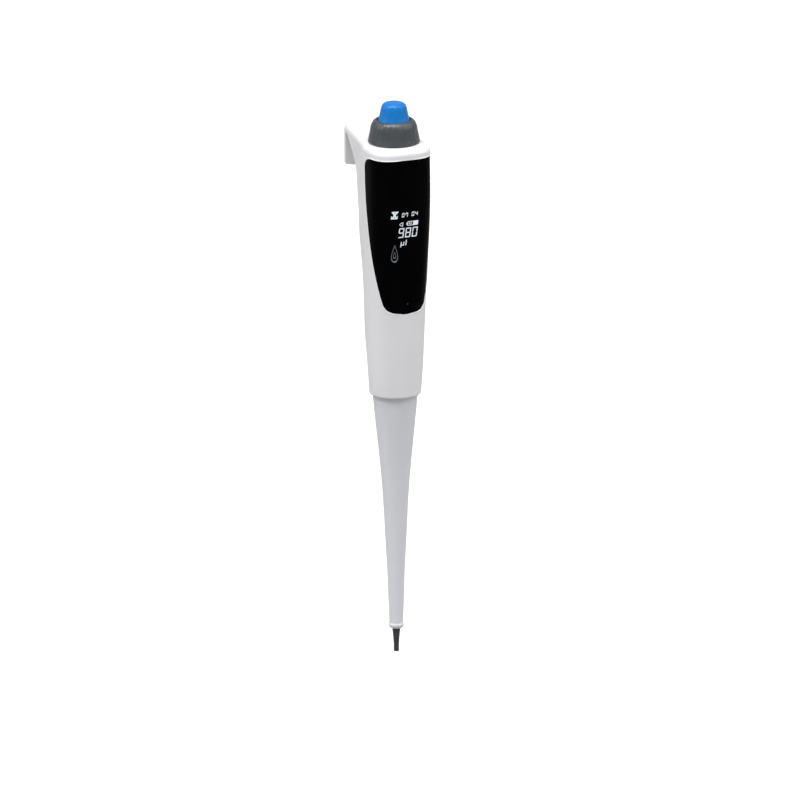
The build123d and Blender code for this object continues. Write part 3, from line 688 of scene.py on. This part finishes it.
amber_off, tree, shader = new_finish("amber_window", Roughness=0.2)
amber_tone = use_effect(tree, aged_tone, Fresh=(0.020, 0.010, 0.004, 1),
                        Aged=(0.030, 0.014, 0.005, 1), Patch_Scale=900.0)
feed(tree, shader, Base_Color=amber_tone["Color"])
status_x, status_z, status_radius = 0.6, 181.0, 0.38
reach = np.linspace(0.04, status_radius, 4)[:, None]
turn = np.linspace(0, 2 * np.pi, 25)[None, :-1]
status_grid = front_face(status_x + reach * np.cos(turn), status_z + reach * np.sin(turn),
                         stroke_lift)
status = skin("status_light", [status_grid], amber_off, around=True)
thicken(status, "window", 0.0)
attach(status, "handle")

# ---- screws and charging port -------------------------------------------------
# Small plated screws hold the boards, the chassis and the service cover, and the charging
# port is a deep-drawn stainless shell. Drivers have rubbed the screws' recesses.

dress(rub(worked_metal("plated_screw", (0.62, 0.62, 0.63), (0.46, 0.46, 0.46), 0.26, lines=12000.0),
          (0.8, 0.8, 0.8), 0.1 * mm, 0.6),
      "board_screw_1", "board_screw_2", "board_screw_3", "board_screw_4", "head_screw_1",
      "head_screw_2", "base_screw_1", "base_screw_2", "cover_screw_1", "cover_screw_2")
dress(worked_metal("drawn_stainless", (0.60, 0.60, 0.61), (0.48, 0.48, 0.48), 0.32, lines=3000.0),
      "charge_jack")
dress(moulded_plastic("display_glass", (0.012, 0.012, 0.016), (0.02, 0.02, 0.026), 0.12,
                      grains=9000.0, depth=0.001 * mm), "oled_module")

# ---- ejector sleeve -----------------------------------------------------------
# The long light grey sleeve that slides down over the nozzle to push a tip off. It is moulded
# in a satin PBT, a shade darker and cooler than the housing.

sleeve_grey = moulded_plastic("sleeve_grey", (0.672, 0.682, 0.715), (0.645, 0.655, 0.688), 0.40,
                              grains=3200.0, depth=0.008 * mm, patches=30.0)
rub(sleeve_grey, (0.78, 0.78, 0.79), 0.2 * mm, 0.3)
dress(sleeve_grey, "ejector_sleeve")

# ---- volume dial --------------------------------------------------------------
# The dark grey dial that sets the volume: a ring with a flared foot and soft grip flutes, one
# moulding with the hub tube that goes down through the housing's top.

dial_flutes, dial_flute_depth, dial_flute_sharpness = 24, 0.17, 2.2
dial_steps, dial_columns = 70, 480


def curve_through(points, count):
    """A Catmull-Rom curve through points: each span is a cubic from its ends and their slopes."""
    p = np.array(points, float)
    slope = np.gradient(p, axis=0)
    place = np.linspace(0, len(p) - 1, count)
    i = np.minimum(place.astype(int), len(p) - 2)
    t = (place - i)[:, None]
    return ((2 * t ** 3 - 3 * t ** 2 + 1) * p[i] + (t ** 3 - 2 * t ** 2 + t) * slope[i]
            + (3 * t ** 2 - 2 * t ** 3) * p[i + 1] + (t ** 3 - t ** 2) * slope[i + 1])


def fluted(profile, weight, flutes, depth, sharpness, columns):
    """A turned shape with flutes:
    radius = profile - depth * weight * ((1 + cos(flutes * angle)) / 2)^sharpness."""
    angle = np.linspace(0, 2 * np.pi, columns, endpoint=False)[None, :]
    valley = ((1 + np.cos(flutes * angle)) / 2) ** sharpness
    radius = profile[:, :1] - depth * weight[:, None] * valley
    height = np.broadcast_to(profile[:, 1:], radius.shape)
    return np.stack([radius * np.cos(angle), radius * np.sin(angle), height], axis=-1) * mm


dial_wall = curve_through([
    (12.35, 259.8), (12.66, 259.95), (12.76, 260.3), (12.55, 261.4), (12.15, 263.3),
    (11.78, 265.3), (11.48, 267.1), (11.12, 268.4), (10.58, 269.5), (9.90, 270.35),
    (9.25, 270.82), (8.75, 270.95)], dial_steps)
dial_inside = np.array([
    (8.50, 270.93), (8.36, 270.82), (8.3, 270.6), (8.3, 262.5), (8.2, 262.45), (6.68, 262.45),
    (6.58, 262.35), (6.58, 250.1), (6.68, 250.0), (7.9, 250.0), (8.0, 250.1), (8.0, 259.7),
    (8.1, 259.8), (12.2, 259.8)])
dial_profile = np.vstack([dial_wall, dial_inside])
dial_weight = np.interp(dial_wall[:, 1], [259.8, 260.9, 262.0, 268.2, 269.8, 270.6],
                        [0, 0.25, 1.0, 1.0, 0.6, 0])
dial_weight = np.r_[dial_weight, np.zeros(len(dial_inside))]
dial_grey = moulded_plastic("dial_grey", (0.048, 0.054, 0.060), (0.060, 0.066, 0.072), 0.28,
                            grains=4200.0, depth=0.006 * mm, patches=90.0)
rub(dial_grey, (0.13, 0.135, 0.14), 0.25 * mm, 0.45)
dial_surface = fluted(dial_profile, dial_weight, dial_flutes, dial_flute_depth,
                      dial_flute_sharpness, dial_columns)
dial = skin("volume_dial", [dial_surface], dial_grey, around=True, along=True)
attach(dial, "dial")
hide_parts("dial_knob")

# ---- push button --------------------------------------------------------------
# The blue thumb button: a bell-shaped cap, hollow below, with twelve faint finger flats that
# run out at its foot and a very shallow dish on top.

button_flats, button_flat_depth, button_flat_sharpness = 12, 0.20, 1.5
button_steps, button_columns = 64, 360
button_wall = curve_through([
    (0.6, 279.16), (2.0, 279.20), (3.3, 279.28), (4.4, 279.18), (5.3, 278.70), (5.95, 277.9),
    (6.36, 276.8), (6.66, 275.4), (6.98, 273.8), (7.30, 272.4), (7.66, 271.2), (7.86, 270.55),
], button_steps)
button_inside = np.array([
    (7.88, 270.42), (7.78, 270.38), (6.5, 270.38), (6.4, 270.45), (5.35, 277.2), (5.25, 277.3),
    (0.6, 277.3)])
button_profile = np.vstack([button_wall, button_inside])
button_weight = np.interp(np.arange(button_steps), [0, 20, 30, 44, 58, button_steps - 1],
                          [0, 0, 0.9, 1.0, 0.2, 0])
button_weight = np.r_[button_weight, np.zeros(len(button_inside))]
button_blue = moulded_plastic("button_blue", (0.004, 0.165, 0.50), (0.004, 0.150, 0.455), 0.30,
                              grains=4200.0, depth=0.010 * mm, patches=90.0,
                              Specular_IOR_Level=0.3)
rub(button_blue, (0.05, 0.30, 0.72), 0.3 * mm, 0.4)
button_surface = fluted(button_profile, button_weight, button_flats, button_flat_depth,
                        button_flat_sharpness, button_columns)
button = skin("push_button", [button_surface], button_blue, around=True, capped=True)
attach(button, "button")
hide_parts("button_cap")

# ---- stage --------------------------------------------------------------------
# A wide, pale, matt table top that glows only where it is looked at, a white surround, a broad
# soft lamp high in front, a small one beside it, and a fill on each side.

floor_half, floor_drop = 25.0, 0.2 * mm
sky_light = 0.34
floor_corners = [(-floor_half, -floor_half, 0), (floor_half, -floor_half, 0),
                 (floor_half, floor_half, 0), (-floor_half, floor_half, 0)]
floor_mesh = bpy.data.meshes.new("floor")
floor_mesh.from_pydata(floor_corners, [], [(0, 1, 2, 3)])
floor_mesh.transform(Matrix.Translation((0, 0, cad_low.z - floor_drop)))
floor = bpy.data.objects.new("floor", floor_mesh)
bpy.context.scene.collection.objects.link(floor)
floor_paint, tree, shader = new_finish("floor_paint", Roughness=0.95, Specular_IOR_Level=0.0,
                                       Emission_Strength=1.0)
floor_tone = use_effect(tree, aged_tone, Fresh=(0.30, 0.30, 0.30, 1), Aged=(0.29, 0.29, 0.29, 1),
                        Patch_Scale=1.5)
looked_at = tree.nodes.new("ShaderNodeLightPath").outputs["Is Camera Ray"]
floor_glow = blend_colours(tree, looked_at, (0, 0, 0, 1), (0.78, 0.78, 0.78, 1))
feed(tree, shader, Base_Color=floor_tone["Color"], Emission_Color=floor_glow)
floor_mesh.materials.append(floor_paint)

scene = bpy.context.scene
surround = bpy.data.worlds.new("surround")
surround.use_nodes = True
sky = surround.node_tree
lit = sky.nodes["Background"]
lit.inputs["Color"].default_value = (1, 1, 1, 1)
lit.inputs["Strength"].default_value = sky_light
seen = node(sky, "Background", {"Color": (1, 1, 1, 1), "Strength": 1.0})
looked_at = sky.nodes.new("ShaderNodeLightPath").outputs["Is Camera Ray"]
choice = node(sky, "MixShader", {0: looked_at, 1: lit.outputs[0], 2: seen.outputs[0]})
sky.links.new(choice.outputs[0], sky.nodes["World Output"].inputs["Surface"])
scene.world = surround

view_turn, view_lift = math.radians(-22.0), math.radians(16.0)
toward_right = Vector((math.cos(view_turn), math.sin(view_turn), 0))
toward_viewer = Vector((math.sin(view_turn), -math.cos(view_turn), 0))


def soft_lamp(name, right, front, up, width_degrees, light):
    """A distant soft lamp: a sun of some angular width, its light in units of the white sky's."""
    lamp = bpy.data.lights.new(name, "SUN")
    lamp.angle = math.radians(width_degrees)
    lamp.energy = light * math.pi
    holder = bpy.data.objects.new(name, lamp)
    scene.collection.objects.link(holder)
    direction = (toward_right * right + toward_viewer * front + Vector((0, 0, up))).normalized()
    holder.rotation_mode = "QUATERNION"
    holder.rotation_quaternion = direction.to_track_quat("Z", "Y")


soft_lamp("broad_lamp", 0.05, 0.34, 1.0, 44, 0.85)
soft_lamp("small_lamp", -0.50, 0.42, 1.0, 5, 0.30)
soft_lamp("left_lamp", -1.0, 0.15, 0.75, 50, 0.27)
soft_lamp("right_lamp", 1.0, 0.10, 0.75, 50, 0.33)

# ---- camera -------------------------------------------------------------------
# A very long lens far off at the front left and a little above, so lines that run back hardly
# draw together. Its stand leans by a quarter of a degree.

camera_distance = 12.0
aim_height, aim_shift = 128.1 * mm, 2.35 * mm
field_width = 392.2 * mm
lean = math.radians(-0.27)
back = toward_viewer * math.cos(view_lift) + Vector((0, 0, math.sin(view_lift)))
aim = Vector((0, 0, aim_height)) + toward_right * aim_shift
optics = bpy.data.cameras.new("camera")
optics.sensor_width = 36.0
optics.lens = optics.sensor_width * camera_distance / field_width
optics.clip_start, optics.clip_end = 0.1, 120.0
camera = bpy.data.objects.new("camera", optics)
scene.collection.objects.link(camera)
camera.location = aim + back * camera_distance
camera.rotation_mode = "QUATERNION"
level = (-back).to_track_quat("-Z", "Y").to_matrix()
camera.rotation_quaternion = (level @ Matrix.Rotation(lean, 3, "Z")).to_quaternion()
scene.camera = camera
scene.view_settings.view_transform = "Standard"
